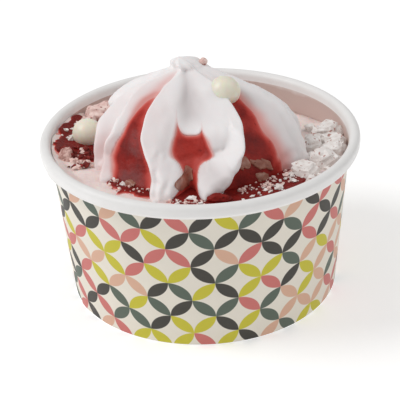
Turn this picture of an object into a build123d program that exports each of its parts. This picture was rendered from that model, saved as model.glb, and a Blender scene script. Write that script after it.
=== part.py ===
"""A filled paper dessert cup: a board cup with a rolled rim, a glued side seam and a recessed base,
holding ice cream, a piped cream rosette, berry sauce, chocolate balls and broken pieces.

Lengths are in millimetres. An azimuth is an angle in degrees seen from above, measured from the front
(-Y) and positive towards the right (+X)."""

import math
import os

from build123d import *

# Cup
rim_diameter = 96.0        # across the outside of the rolled rim
cup_height = 49.6
base_diameter = 81.8       # across the foot
board = 0.45               # thickness of the paperboard
roll_width = 3.4           # rim roll, from its inner to its outer side
roll_height = 4.3
recess_depth = 6.0         # from the foot up to the underside of the base disc
hem_gap = 1.0              # from the top of the folded hem to the base disc
foot_bevel = 0.25          # crease along the two edges of the foot
bend_bevel = 0.6           # off the fold of the base disc
seam_azimuth = -68.0       # where the glued overlap begins
seam_width = 7.0
seam_step = 0.3            # how far the overlap stands proud
rim_lap_start = 120.0      # the overlap on the roll's section, in degrees from outwards
rim_lap_end = -60.0

# Ice cream
fill_drop_front = 3.6      # from the rim down to the ice cream at the front of the wall
fill_drop_back = 10.3      # and at the back
fill_clearance = 0.1       # between the filling and the wall

# Cream rosette
rosette_margin = 7.4       # from the wall to the circle of the ridges' feet
peak_rise = 22.8           # from the rim up to the peak
peak_offset = (-3.9, 5.0)  # of the peak from the cup's axis
foot_offset = (0.0, -3.0)  # of the middle of the ridges' feet from the cup's axis
# For each ridge, at the foot and then at the shoulder: its azimuth, its reach as a share of the rosette's,
# and the depth of the valley after it as a share of the reach
ridges = [
    (-66, -63, 1.0, 1.0, 0.26, 0.22),
    (-17, -36, 1.08, 1.0, 0.24, 0.24),
    (11, 40, 1.08, 1.0, 0.24, 0.27),
    (67, 84, 1.0, 1.0, 0.2, 0.2),
    (108, 122, 1.0, 0.74, 0.2, 0.2),
    (152, 164, 1.0, 0.66, 0.2, 0.2),
    (192, 200, 1.0, 0.66, 0.2, 0.2),
    (228, 234, 1.0, 0.7, 0.2, 0.2),
    (262, 260, 0.76, 1.0, 0.2, 0.2),
]
# A ridge's crest from foot to peak: share of the rosette's height, share of its radius, and how far the
# ridges have swung from foot to shoulder
crest = [
    (0.0, 0.97, 0.0),
    (0.2, 1.0, 0.0),
    (0.38, 0.95, 0.12),
    (0.55, 0.83, 0.55),
    (0.68, 0.61, 0.95),
    (0.8, 0.36, 1.0),
    (0.9, 0.17, 1.0),
    (1.0, 0.07, 1.0),
]

# Berry sauce
sauce_start = -118.0       # azimuth of the pool's left end
sauce_end = 46.0           # azimuth of the pool's right end
sauce_film = 1.2           # depth of the pool on the ice cream
climb_start = -67.0        # azimuths of the ridges that the climbing sauce lies between
climb_end = 69.0
climb_levels = 6           # how many levels of the crest line the sauce climbs
climb_fill_foot = 0.9      # reach of the sauce in the valleys, as a share of the ridges' reach
climb_fill_top = 0.72

# Chocolate balls
ball_radius = 4.6
ball_seat = 0.1            # clearance round a ball in its hollow
crown_ball_level = 0.75    # share of the rosette's height
crown_ball_ridge = 2       # it lies in the valley after this ridge
crown_ball_way = 0.33      # share of the way to the next ridge
crown_ball_sink = 3.0      # below the valley's floor
pool_ball_azimuth = -97.6
pool_ball_inset = 9.6      # from the wall to the ball's middle
pool_ball_sink = 0.4       # below the sauce

# White pieces: distance from the pool's end, along the wall, and from the wall, then length, width, height
meringue = [
    (13.8, 4.5, 6.6, 5.6, 4.8),
    (22.3, 4.0, 5.6, 4.6, 4.2),
    (30.0, 3.6, 5.4, 4.6, 3.8),
    (37.2, 4.3, 6.0, 4.8, 4.2),
    (21.9, 9.8, 6.0, 4.8, 4.2),
    (4.6, 6.6, 6.4, 5.0, 4.0),
]
# Pink pieces: azimuth, distance from the wall, then length, width and height
pink = [
    (-126, 5.4, 8.0, 6.0, 7.6),
    (-80, 3.4, 6.6, 3.4, 4.6),
]
piece_bevel = 0.22         # share of a piece's height broken off its edges
piece_twist = 23.0         # each piece lies turned this much more than the one before, left and right
piece_seat = 0.1           # clearance round a piece in the sauce

# Sizes worked out from those above
rim_radius = rim_diameter / 2
foot_radius = base_diameter / 2
roll_radius = roll_width / 2
roll_middle = rim_radius - roll_radius
roll_top = cup_height - roll_radius                     # centre of the roll's upper arc
roll_bottom = cup_height - roll_height + roll_radius    # centre of its lower arc

# The wall's inner face starts one board inside the foot's edge and is tangent to the upper arc
inner_run = roll_middle - (foot_radius - board)
draft = math.atan2(inner_run, roll_top) - math.asin(roll_radius / math.hypot(inner_run, roll_top))
layer = board / math.cos(draft)                         # the board's thickness measured level
hem_height = recess_depth - hem_gap
base_floor = recess_depth + board


def wall_inside(z):
    """Radius of the wall's inner face at a height."""
    return foot_radius - layer + z * math.tan(draft)


def wall_outside(z, proud=0.0):
    """Radius of the wall's outer face at a height, or of a face that stands proud of it."""
    return wall_inside(z) + layer + proud / math.cos(draft)


def around(azimuth, reach, z=0.0):
    """The point at an azimuth, at a distance from the cup's axis."""
    angle = math.radians(azimuth)
    return Vector(reach * math.sin(angle), -reach * math.cos(angle), z)


def turned(azimuth):
    """The turn that brings what is drawn along +X to an azimuth."""
    return Rot(0, 0, azimuth - 90)


def section(edges):
    """The face inside edges that are drawn in (radius, height)."""
    return Plane.XZ * make_face(edges)


# The top of the ice cream is a plane that drops towards the back
fill_front = cup_height - fill_drop_front
fill_back = cup_height - fill_drop_back
fill_span = wall_inside(fill_front) + wall_inside(fill_back)
fill_slope = (fill_front - fill_back) / fill_span
fill_tilt = math.atan(fill_slope)
fill_middle = fill_front - fill_slope * wall_inside(fill_front)
fill_normal = Vector(0, math.sin(fill_tilt), math.cos(fill_tilt))


def fill_level(point):
    """Height of the ice cream's top at a point."""
    return fill_middle - fill_slope * point.Y


def fill_plane(lift=0.0):
    """The plane of the ice cream's top, lifted along its normal."""
    return Plane(Vector(0, 0, fill_middle) + fill_normal * lift, x_dir=(1, 0, 0), z_dir=fill_normal)


# The rim's turns are one solid roll: two arcs and a straight outer side

def roll_point(radius, angle, z):
    """A point of the roll's section, at an angle from outwards about the arc centre at height z."""
    a = math.radians(angle)
    return (roll_middle + radius * math.cos(a), z + radius * math.sin(a))


def roll_line(radius, start, end):
    """The roll's outline at a radius, over the top from one angle and down to another."""
    return [
        ThreePointArc(*[roll_point(radius, a, roll_top) for a in (start, start / 2, 0)]),
        Line(roll_point(radius, 0, roll_top), roll_point(radius, 0, roll_bottom)),
        ThreePointArc(*[roll_point(radius, a, roll_bottom) for a in (0, end / 2, end)]),
    ]


# The roll begins tangent to the wall's inner face and ends where it comes back to the outer face
roll_start = 180 - math.degrees(draft)
roll_standoff = (roll_middle - foot_radius) * math.cos(draft) - roll_bottom * math.sin(draft)
roll_end = -math.degrees(math.acos(-roll_standoff / roll_radius) + draft)


def sheet_section():
    """The wall's board from the hem, down round the foot, up the wall and over the rim."""
    foot_line = Polyline(
        roll_point(roll_radius, roll_end, roll_bottom),
        (wall_outside(foot_bevel), foot_bevel),
        (foot_radius - foot_bevel, 0),
        (wall_inside(0) - 2 * layer + foot_bevel, 0),
        (wall_inside(foot_bevel) - 2 * layer, foot_bevel),
        (wall_inside(hem_height) - 2 * layer, hem_height),
        (wall_inside(hem_height) - layer, hem_height),
        (wall_inside(board) - layer, board),
        (wall_inside(board), board),
        roll_point(roll_radius, roll_start, roll_top),
    )
    return section([*foot_line.edges(), *roll_line(roll_radius, roll_start, roll_end)])


def overlap_section():
    """The extra board of the seam: a strip up the wall and another over the rim."""
    low = 2 * foot_bevel
    strip = Polyline(
        (wall_outside(low) - layer / 2, low),
        (wall_outside(low, seam_step), low),
        (wall_outside(roll_bottom, seam_step), roll_bottom),
        (wall_outside(roll_bottom) - layer / 2, roll_bottom),
        close=True,
    )
    inside = roll_radius - board
    outside = roll_radius + seam_step
    ends = [
        Line(roll_point(inside, rim_lap_start, roll_top), roll_point(outside, rim_lap_start, roll_top)),
        Line(roll_point(inside, rim_lap_end, roll_bottom), roll_point(outside, rim_lap_end, roll_bottom)),
    ]
    lines = [roll_line(radius, rim_lap_start, rim_lap_end) for radius in (inside, outside)]
    return [section(strip.edges()), section([*lines[0], *lines[1], *ends])]


def cup_wall():
    """Plain board all round, and doubled board across the seam."""
    sheet = sheet_section()
    lapped = sheet
    for strip in overlap_section():
        lapped = lapped + strip
    seam_angle = math.degrees(seam_width / wall_outside(cup_height / 2))
    seam = turned(seam_azimuth) * revolve(lapped, Axis.Z, seam_angle)
    rest = turned(seam_azimuth + seam_angle) * revolve(sheet, Axis.Z, 360 - seam_angle)
    return rest + seam


def cup_base():
    """The base disc with its skirt, which stands in the slot between the wall and the hem."""
    corner = (wall_inside(base_floor), base_floor)
    profile = make_face(Polyline(
        (0, recess_depth),
        (wall_inside(recess_depth) - layer, recess_depth),
        (wall_inside(board) - layer, board),
        (wall_inside(board), board),
        corner,
        (0, base_floor),
        close=True,
    ))
    profile = chamfer(profile.vertices().sort_by_distance(corner)[0], bend_bevel)
    return revolve(Plane.XZ * profile, Axis.Z)


def cup_inside(clearance, top):
    """The space above the base disc and inside the wall, up to a height."""
    profile = Polyline(
        (0, base_floor),
        (wall_inside(base_floor) - clearance, base_floor),
        (wall_inside(top) - clearance, top),
        (0, top),
        close=True,
    )
    return revolve(section(profile.edges()), Axis.Z)


def ice_cream():
    """The filling, cut off by its sloping top."""
    return split(cup_inside(fill_clearance, fill_front + fill_drop_front), fill_plane(), Keep.BOTTOM)


# The rosette is a loft through fluted levels, with one hollow arc from each ridge to the next
rosette_radius = wall_inside(fill_front) - rosette_margin - math.hypot(*foot_offset)
rosette_height = cup_height + peak_rise - fill_back


def level_middle(share):
    """The middle of the rosette at a share of its height."""
    x, y = [foot + share * (peak - foot) for foot, peak in zip(foot_offset, peak_offset)]
    return Vector(x, y, fill_back + share * rosette_height)


def ridge(number, reach, swing):
    """Azimuth and reach of a ridge's crest, counted on past the last ridge."""
    turns, index = divmod(number, len(ridges))
    foot, shoulder, foot_reach, shoulder_reach = ridges[index][:4]
    azimuth = foot + swing * (shoulder - foot) + 360 * turns
    return azimuth, reach * (foot_reach + swing * (shoulder_reach - foot_reach))


def valley(number, reach, swing):
    """Azimuth and reach of the floor of the valley that follows a ridge."""
    before, before_reach = ridge(number, reach, swing)
    after, after_reach = ridge(number + 1, reach, swing)
    foot_depth, shoulder_depth = ridges[number][4:]
    depth = foot_depth + swing * (shoulder_depth - foot_depth)
    return (before + after) / 2, (1 - depth) * (before_reach + after_reach) / 2


def rosette_level(share, reach, swing):
    """The fluted face of the rosette at a share of its height."""
    middle = level_middle(share)
    arcs = []
    for number in range(len(ridges)):
        left = around(*ridge(number, reach, swing))
        floor = around(*valley(number, reach, swing))
        right = around(*ridge(number + 1, reach, swing))
        arcs.append(ThreePointArc(middle + left, middle + floor, middle + right))
    return make_face(arcs)


def whole_rosette():
    """The rosette, down to the lowest level of the ice cream."""
    levels = [rosette_level(share, reach * rosette_radius, swing) for share, reach, swing in crest]
    return split(loft(levels), fill_plane(), Keep.TOP)


def crest_at(level):
    """Reach and swing of the ridges at a share of the rosette's height."""
    for low, high in zip(crest, crest[1:]):
        if level <= high[0]:
            part = (level - low[0]) / (high[0] - low[0])
            reach, swing = [a + part * (b - a) for a, b in zip(low[1:], high[1:])]
            return reach * rosette_radius, swing


def crown_ball_middle():
    """The middle of the ball that nestles in a valley below the peak."""
    level = crest_at(crown_ball_level)
    before, after = [ridge(number, *level)[0] for number in (crown_ball_ridge, crown_ball_ridge + 1)]
    azimuth = before + crown_ball_way * (after - before)
    reach = valley(crown_ball_ridge, *level)[1] + ball_radius - crown_ball_sink
    return level_middle(crown_ball_level) + around(azimuth, reach)


def pool_ball_middle():
    """The middle of the ball that rests in the pool beside the wall."""
    place = around(pool_ball_azimuth, wall_inside(fill_back) - pool_ball_inset)
    lift = sauce_film - pool_ball_sink + ball_radius
    return Vector(place.X, place.Y, fill_level(place)) + fill_normal * lift


def ball(middle, clearance=0.0):
    """A chocolate ball, or the hollow that it lies in."""
    return Pos(middle) * Sphere(ball_radius + clearance)


def piece(number, azimuth, inset, length, width, height, clearance=0.0):
    """A broken piece with knocked-off edges, flat on the ice cream, or the hollow round it."""
    place = around(azimuth, wall_inside(fill_back) - inset)
    seat = Plane(Vector(place.X, place.Y, fill_level(place)), x_dir=(1, 0, 0), z_dir=fill_normal)
    twist = piece_twist * (number % 3 - 1)
    grow = 2 * clearance
    block = Box(length + grow, width + grow, height, align=(Align.CENTER, Align.CENTER, Align.MIN))
    if clearance == 0:
        lower = block.faces().sort_by(Axis.Z)[0].edges()
        block = chamfer(block.edges() - lower, piece_bevel * height)
    return seat * Rot(0, 0, azimuth + twist) * block


def past_pool(distance, inset):
    """The azimuth at a distance along the wall from the pool's right end."""
    return sauce_end + math.degrees(distance / (wall_inside(fill_back) - inset))


def wedge(start, end):
    """All that lies between two azimuths."""
    half = Rectangle(rim_radius, 2 * cup_height, align=(Align.MIN, Align.MIN))
    return turned(start) * revolve(Plane.XZ * half, Axis.Z, end - start)


def climbing_sauce():
    """The sauce in the front valleys of the rosette, not yet cut to them."""
    rings = []
    for share, reach, _ in crest[:climb_levels]:
        part = share / crest[climb_levels - 1][0]
        fill = climb_fill_foot + part * (climb_fill_top - climb_fill_foot)
        ring = CenterArc((0, 0), fill * reach * rosette_radius, 0, 360)
        rings.append(Pos(level_middle(share)) * make_face(ring))
    return split(loft(rings), fill_plane(), Keep.TOP) & wedge(climb_start, climb_end)


def berry_sauce(rosette):
    """A pool on the ice cream that climbs the front valleys of the rosette."""
    pool = split(cup_inside(fill_clearance, cup_height), fill_plane(), Keep.TOP)
    pool = split(pool, fill_plane(sauce_film), Keep.BOTTOM) & wedge(sauce_start, sauce_end)
    sauce = pool + climbing_sauce()
    sauce = sauce - rosette
    for middle in (pool_ball_middle(), crown_ball_middle()):
        sauce = sauce - ball(middle, ball_seat)
    for number, sizes in enumerate(pink):
        sauce = sauce - piece(number, *sizes, clearance=piece_seat)
    return sauce


def write(name, shape):
    """Write one piece to its own file."""
    export_step(shape, os.path.join("parts", name + ".step"))


os.makedirs("parts", exist_ok=True)
plain_rosette = whole_rosette()
write("cup_wall", cup_wall())
write("cup_base", cup_base())
write("ice_cream", ice_cream())
write("cream_rosette", plain_rosette - ball(crown_ball_middle(), ball_seat))
write("berry_sauce", berry_sauce(plain_rosette))
write("crown_ball", ball(crown_ball_middle()))
write("pool_ball", ball(pool_ball_middle()))
for number, (distance, inset, *sizes) in enumerate(meringue):
    write(f"meringue_piece_{number + 1}", piece(number, past_pool(distance, inset), inset, *sizes))
for number, sizes in enumerate(pink):
    write(f"pink_piece_{number + 1}", piece(number, *sizes))
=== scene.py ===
import math

import bpy
import numpy as np
from mathutils import Matrix, Vector


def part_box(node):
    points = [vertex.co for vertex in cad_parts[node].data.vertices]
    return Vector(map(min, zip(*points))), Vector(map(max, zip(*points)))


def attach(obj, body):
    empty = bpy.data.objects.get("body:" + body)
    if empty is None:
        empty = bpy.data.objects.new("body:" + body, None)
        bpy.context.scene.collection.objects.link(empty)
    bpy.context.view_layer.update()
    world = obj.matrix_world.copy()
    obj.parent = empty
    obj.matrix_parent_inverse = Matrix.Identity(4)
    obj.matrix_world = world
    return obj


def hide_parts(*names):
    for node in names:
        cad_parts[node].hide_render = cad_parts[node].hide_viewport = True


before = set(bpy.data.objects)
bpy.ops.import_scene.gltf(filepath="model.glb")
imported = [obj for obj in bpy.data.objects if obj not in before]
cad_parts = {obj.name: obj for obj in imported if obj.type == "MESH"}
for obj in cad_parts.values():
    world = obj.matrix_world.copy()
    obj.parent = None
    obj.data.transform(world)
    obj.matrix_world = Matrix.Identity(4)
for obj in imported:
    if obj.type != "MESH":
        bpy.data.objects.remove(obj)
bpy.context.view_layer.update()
mm = 0.001      # shapes are worked out in millimetres, meshes are in metres
print("frame loaded:", len(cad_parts), "nodes")


# Small tools for shapes

# Smooth curve through (place, value) knots: a cubic that never swings past them.
def through(knots, at):
    place, value = np.array(knots, float).T
    step = np.diff(value)/np.diff(place)
    same = step[:-1]*step[1:] > 0
    total = np.where(same, step[:-1] + step[1:], 1)
    inner = np.where(same, 2*step[:-1]*step[1:]/total, 0)
    slope = np.concatenate([[step[0]], inner, [step[-1]]])
    at = np.clip(at, place[0], place[-1])
    k = np.clip(np.searchsorted(place, at, side="right") - 1, 0, len(step) - 1)
    width = place[k + 1] - place[k]
    u = (at - place[k])/width
    ends = value[k]*(1 + 2*u)*(1 - u)**2 + value[k + 1]*u**2*(3 - 2*u)
    return ends + width*(slope[k]*u*(1 - u)**2 - slope[k + 1]*u**2*(1 - u))


# 0 below low, 1 above high, an S curve between.
def ease(low, high, at):
    u = np.clip((at - low)/(high - low), 0, 1)
    return u*u*(3 - 2*u)


# Turn from one azimuth to another, between -180 and 180 degrees.
def turnFrom(start, azimuth):
    return (azimuth - start + 180) % 360 - 180


# Azimuths of columns that go once round.
def onceRound(columns):
    return np.linspace(-180, 180, columns, endpoint=False)


# Point at an azimuth from the front, positive to the right, and a radius from a middle.
def polar(azimuth, radius, height, middle=(0, 0)):
    a = np.radians(azimuth)
    x = middle[0] + radius*np.sin(a)
    y = middle[1] - radius*np.cos(a)
    return np.stack(np.broadcast_arrays(x, y, height), axis=-1)


# Sum of sine waves in seeded directions, each about one size long, mostly within -1 to 1.
def lumps(points, size, seed, waves=14):
    rng = np.random.default_rng(seed)
    heading = rng.normal(size=(waves, 3))
    heading /= np.linalg.norm(heading, axis=1)[:, None]
    pace = 2*np.pi/(size*rng.uniform(0.7, 1.4, waves))
    start = rng.uniform(0, 2*np.pi, waves)
    return np.sin((points @ heading.T)*pace + start).sum(axis=-1)/math.sqrt(waves)


# Several such sums together, each given as (amount, size, seed).
def uneven(points, *waves):
    return sum(amount*lumps(points, size, seed) for amount, size, seed in waves)


# Quads between neighbouring rows and columns of a grid of points numbered row by row.
def gridQuads(rows, columns, joinRows=False, joinColumns=True):
    i = np.arange(rows if joinRows else rows - 1)[:, None]
    j = np.arange(columns if joinColumns else columns - 1)[None, :]
    below, above = i*columns, (i + 1) % rows*columns
    after = (j + 1) % columns
    corners = np.broadcast_arrays(below + j, below + after, above + after, above + j)
    return np.stack(corners, -1).reshape(-1, 4)


# Triangles from one row of a closed grid to a single point.
def fan(first, columns, tip):
    j = np.arange(columns)
    return np.stack([first + j, first + (j + 1) % columns, np.full(columns, tip)], -1)


# A grid whose columns join round, closed at both ends by a point.
def capped(grid, firstTip, lastTip):
    rows, columns = grid.shape[:2]
    count = rows*columns
    points = np.concatenate([grid.reshape(-1, 3), [firstTip, lastTip]])
    tips = np.concatenate([fan(0, columns, count)[:, ::-1], fan(count - columns, columns, count + 1)])
    return points, gridQuads(rows, columns), tips


# A closed slab between two grids of the same shape: both faces and the strip round the edge.
def slab(top, bottom):
    rows, columns = top.shape[:2]
    sheet = gridQuads(rows, columns, joinColumns=False)
    count = rows*columns
    index = np.arange(count).reshape(rows, columns)
    edge = np.concatenate([index[0, :-1], index[:-1, -1], index[-1, :0:-1], index[:0:-1, 0]])
    after = np.roll(edge, -1)
    side = np.stack([after, edge, edge + count, after + count], -1)
    points = np.concatenate([top.reshape(-1, 3), bottom.reshape(-1, 3)])
    return points, np.concatenate([sheet, sheet[:, ::-1] + count, side]), np.zeros((0, 3), int)


# Six times the volume inside a closed mesh, negative where its faces point inwards.
def signedVolume(points, quads, tris):
    corners = np.concatenate([quads[:, [0, 1, 2]], quads[:, [0, 2, 3]], tris])
    a, b, c = (points[corners[:, k]] for k in range(3))
    return np.einsum("ij,ij->", a, np.cross(b, c))


# Puts a closed mesh into Blender: points in mm, faces turned outwards, values at points as attributes.
def newPiece(name, shell, finishes, stands=(), values=None, faceFinish=None, smooth=True):
    points, quads, tris = shell
    if signedVolume(points, quads, tris) < 0:
        quads, tris = quads[:, ::-1], tris[:, ::-1]
    mesh = bpy.data.meshes.new(name)
    mesh.vertices.add(len(points))
    mesh.vertices.foreach_set("co", (points*mm).astype(np.float32).ravel())
    loops = np.concatenate([quads.ravel(), tris.ravel()]).astype(np.int32)
    mesh.loops.add(len(loops))
    mesh.loops.foreach_set("vertex_index", loops)
    sizes = np.concatenate([np.full(len(quads), 4), np.full(len(tris), 3)])
    mesh.polygons.add(len(sizes))
    mesh.polygons.foreach_set("loop_start", np.concatenate([[0], np.cumsum(sizes)[:-1]]).astype(np.int32))
    mesh.polygons.foreach_set("use_smooth", np.full(len(sizes), smooth))
    for finish in finishes:
        mesh.materials.append(finish)
    if faceFinish is not None:
        mesh.polygons.foreach_set("material_index", faceFinish.astype(np.int32))
    mesh.update(calc_edges=True)
    mesh.validate()
    for key, value in (values or {}).items():
        mesh.attributes.new(key, "FLOAT", "POINT").data.foreach_set("value", value.astype(np.float32).ravel())
    piece = bpy.data.objects.new(name, mesh)
    bpy.context.scene.collection.objects.link(piece)
    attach(piece, "root")
    if stands:
        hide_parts(*stands)
    return piece


# Small tools for finishes

# Display colour, 0 to 255, to the scene's linear colour.
def paint(red, green, blue):
    shares = np.array([red, green, blue])/255
    linear = np.where(shares <= 0.04045, shares/12.92, ((shares + 0.055)/1.055)**2.4)
    return (*linear.tolist(), 1.0)


# A wire holds one output of a node; sums and products of wires add Math nodes.
class Wire:
    def __init__(self, tree, socket=None):
        self.tree, self.socket = tree, socket

    def node(self, kind, settings=None, inputs=None, output=0):
        made = self.tree.nodes.new(kind)
        for key, value in (settings or {}).items():
            if key == "stops":
                self.setStops(made.color_ramp, value)
            else:
                setattr(made, key, value)
        for key, value in (inputs or {}).items():
            if isinstance(value, Wire):
                self.tree.links.new(value.socket, made.inputs[key])
            else:
                made.inputs[key].default_value = value
        return Wire(self.tree, made.outputs[output])

    def setStops(self, ramp, stops):
        while len(ramp.elements) < len(stops):
            ramp.elements.new(1.0)
        for element, (position, colour) in zip(ramp.elements, stops):
            element.position = position
            element.color = colour

    def maths(self, operation, *values):
        return self.node("ShaderNodeMath", {"operation": operation}, dict(enumerate(values)))

    def __add__(self, other):
        return self.maths("ADD", self, other)

    def __radd__(self, other):
        return self.maths("ADD", other, self)

    def __sub__(self, other):
        return self.maths("SUBTRACT", self, other)

    def __rsub__(self, other):
        return self.maths("SUBTRACT", other, self)

    def __mul__(self, other):
        return self.maths("MULTIPLY", self, other)

    def __rmul__(self, other):
        return self.maths("MULTIPLY", other, self)

    def __truediv__(self, other):
        return self.maths("DIVIDE", self, other)

    def limited(self):
        return self.node("ShaderNodeClamp", None, {0: self})

    def mixed(self, first, second):
        return self.node("ShaderNodeMix", {"data_type": "RGBA"}, {0: self, 6: first, 7: second}, 2)

    def ramp(self, stops, interpolation="LINEAR"):
        made = self.node("ShaderNodeValToRGB", {"stops": stops}, {0: self})
        made.socket.node.color_ramp.interpolation = interpolation
        return made


# A Principled finish: fixed values on its own sockets, and a free wire to start expressions from.
def newFinish(name, **fixed):
    finish = bpy.data.materials.new(name)
    finish.use_nodes = True
    tree = finish.node_tree
    shader = tree.nodes["Principled BSDF"]
    for key, value in fixed.items():
        shader.inputs[key.replace("_", " ")].default_value = value
    return finish, shader, Wire(tree)


# Joins what varies over a surface to the shader.
def feed(shader, wire, **varying):
    for key, value in varying.items():
        wire.tree.links.new(value.socket, shader.inputs[key.replace("_", " ")])


# Object coordinates, a value kept at the mesh's points, noise with a grain in millimetres, and a bump.
def placeOn(wire):
    return wire.node("ShaderNodeTexCoord", None, None, "Object")


def kept(wire, name):
    return wire.node("ShaderNodeAttribute", {"attribute_name": name}, None, "Fac")


def grain(wire, size, detail=3.0):
    settings = {"Scale": 1/(size*mm), "Detail": detail, "Roughness": 0.55, "Vector": placeOn(wire)}
    return wire.node("ShaderNodeTexNoise", None, settings)


def bumped(wire, height, depth, strength):
    return wire.node("ShaderNodeBump", None, {"Height": height, "Distance": depth*mm, "Strength": strength})


# A colour, and a texture that adds to the roughness and bumps the surface: rough is the least roughness and
# what is added, bump is depth and strength.
def cover(shader, wire, colour, texture, rough, bump):
    feed(shader, wire, Base_Color=colour, Roughness=rough[0] + rough[1]*texture,
         Normal=bumped(wire, texture, *bump))


# Printed board: a lattice of petals on warm white

board = {
    "seamAzimuth": -67.0,       # where the print starts and ends, at the lap
    "column": 9.0,              # degrees between columns of junctions
    "columnStart": -5.4,
    "row": 5.87,                # millimetres between rows of junctions
    "rowStart": 4.5,
    "edge": 0.016,              # softness of a petal's edge, in lattice units
    "seed": 3.0,
    "cloud": 6.0,               # millimetres across the ground's slow clouds and its fibres
    "fibre": 0.9,
    "shaded": 0.95,             # how dark the clouds get
    "ground": paint(235, 228, 215),
    "petals": [paint(65, 62, 56), paint(89, 101, 89), paint(204, 115, 110), paint(218, 175, 150),
               paint(201, 192, 54)],
}


# Petals are lenses along the edges of a slanted lattice: a point is in one where its distance from the
# opposite cell's middle is under half a diagonal. A seeded value for each edge picks one of five colours.
def printedBoard():
    finish, shader, wire = newFinish("printedBoard", Specular_IOR_Level=0.35)
    x, y, z = (wire.node("ShaderNodeSeparateXYZ", None, {0: placeOn(wire)}, k) for k in range(3))
    turn = wire.maths("ARCTAN2", x, 0 - y)*math.degrees(1)
    fromSeam = wire.maths("FLOORED_MODULO", turn - board["seamAzimuth"], 360.0)
    u = (fromSeam + (board["seamAzimuth"] - board["columnStart"]))/board["column"]
    v = (z/mm - board["rowStart"])/board["row"]
    p = (u + v)*0.5
    q = (u - v)*0.5
    cellP, cellQ = wire.maths("FLOOR", p), wire.maths("FLOOR", q)
    nearP, nearQ = wire.maths("ROUND", p), wire.maths("ROUND", q)
    shaded = tuple(board["shaded"]*share for share in board["ground"][:3]) + (1,)
    colour = grain(wire, board["cloud"]).mixed(board["ground"], shaded)
    stops = [(k/len(board["petals"]), petal) for k, petal in enumerate(board["petals"])]
    for across, along, keyP, keyQ, draw in (
        (p - nearP, q - cellQ, nearP, cellQ, board["seed"]),
        (q - nearQ, p - cellP, cellP, nearQ, board["seed"] + 10),
    ):
        off = wire.maths("ABSOLUTE", across) + 0.5
        side = along - 0.5
        inside = 0.5 - (off*off + side*side)
        key = wire.node("ShaderNodeCombineXYZ", None, {0: keyP, 1: keyQ, 2: draw})
        pick = wire.node("ShaderNodeTexWhiteNoise", {"noise_dimensions": "3D"}, {"Vector": key}, "Value")
        petal = pick.ramp(stops, "CONSTANT")
        colour = (inside/board["edge"] + 0.5).limited().mixed(colour, petal)
    fibre = grain(wire, board["fibre"], 4.0)
    cover(shader, wire, colour, fibre, (0.42, 0.16), (0.02, 0.5))
    return finish


plain = {
    "light": paint(244, 243, 242),
    "dark": paint(236, 234, 232),
    "cloud": 7.0,
    "fibre": 0.8,
}
# Smears inside the cup: partly real melted cream, partly painted shade and painted pink reflection on the
# inner wall
smearAndShade = {
    "top": 48.4,                # millimetres up, where the inside is clean again
    "bottom": 45.8,
    "wander": 5.0,              # how far its edge wanders up and down
    "wanderSize": 11.0,
    "leftRise": 3.0,            # how much higher it goes on the left
    "leftEnd": -44.0,           # where that rise is full
    "amount": 0.85,
    "mixSize": 16.0,
    # smear colours, darker than the cream itself as painted shade of the cup's inside
    "pink": paint(196, 160, 152),
    "beige": paint(190, 167, 155),
}


# White board with slow clouds and fine fibres. Inside the cup, melted cream has left pink and beige smears
# that fade out towards the rim; their colours are also darkened as painted shade on the cup's inner wall,
# with a pink cast as painted reflection of the dessert.
def plainBoard(name, smearedAndShaded=False):
    finish, shader, wire = newFinish(name, Specular_IOR_Level=0.4)
    fibre = grain(wire, plain["fibre"], 4.0)
    colour = grain(wire, plain["cloud"]).mixed(plain["light"], plain["dark"])
    if smearedAndShaded:
        x, z = (wire.node("ShaderNodeSeparateXYZ", None, {0: placeOn(wire)}, k) for k in (0, 2))
        edge = smearAndShade["top"] + (grain(wire, smearAndShade["wanderSize"]) - 0.5)*smearAndShade["wander"]
        edge = edge + smearAndShade["leftRise"]*(x/(smearAndShade["leftEnd"]*mm)).limited()
        low = ((edge - z/mm)/(smearAndShade["top"] - smearAndShade["bottom"])).limited()
        # the smear's colour, which also carries painted shade of the inner wall
        meltedAndShaded = grain(wire, smearAndShade["mixSize"]).mixed(smearAndShade["pink"], smearAndShade["beige"])
        colour = (low*smearAndShade["amount"]).mixed(colour, meltedAndShaded)
    cover(shader, wire, colour, fibre, (0.36, 0.16), (0.02, 0.6))
    return finish


# Cup wall: one sheet, rolled outwards at the rim, folded in and up at the foot

cup = {
    "rimRadius": 48.0,
    "footRadius": 40.9,
    "slope": 0.0865,            # how much the radius grows for each millimetre up
    "board": 0.45,
    "rollRadius": 1.7,
    "rollTop": 47.9,            # height of the roll's upper and lower arc middles
    "rollBottom": 47.0,
    "lowerArc": (214, 360),     # degrees from outwards
    "upperArc": (0, 178),
    "wallTop": 45.6,            # where the wall's outside and inside meet the roll
    "innerTop": 46.6,
    "hem": 5.0,
    "footBevel": 0.25,
    "hemBevel": 0.2,
    "corner": 0.12,
    "seamWidth": 7.0,
    "seamStep": 0.3,
    "seamFade": (0.6, 1.3),     # where the lap's rise fades out, as shares of its width
    "lapEnd": 6,                # steps of the upper arc that the lap leaves bare
    "columns": 480,
    "seamColumns": (-0.2, -0.06, 0.06, 0.2),    # and closer ones, in degrees from the lap's edge
    "wave": (0.07, 45.0, 11),   # how far the roll is out of true, over what length, and the seed
    "waveRing": (40.0, 20.0),   # radius and height of the ring that it is taken on
    "waveStart": (44.0, 47.0),
}


# The wall's outside, which widens evenly with height.
def wallRadius(z):
    return cup["footRadius"] + cup["slope"]*z


# Rounds each corner of a closed outline: two points a short way along both sides, and one between.
def softCorners(outline, radius):
    before = np.roll(outline, 1, axis=0) - outline
    after = np.roll(outline, -1, axis=0) - outline
    a = outline + before*np.minimum(0.45, radius/np.linalg.norm(before, axis=1))[:, None]
    b = outline + after*np.minimum(0.45, radius/np.linalg.norm(after, axis=1))[:, None]
    middle = 0.5*outline + 0.25*a + 0.25*b
    return np.stack([a, middle, b], axis=1).reshape(-1, 2)


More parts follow.
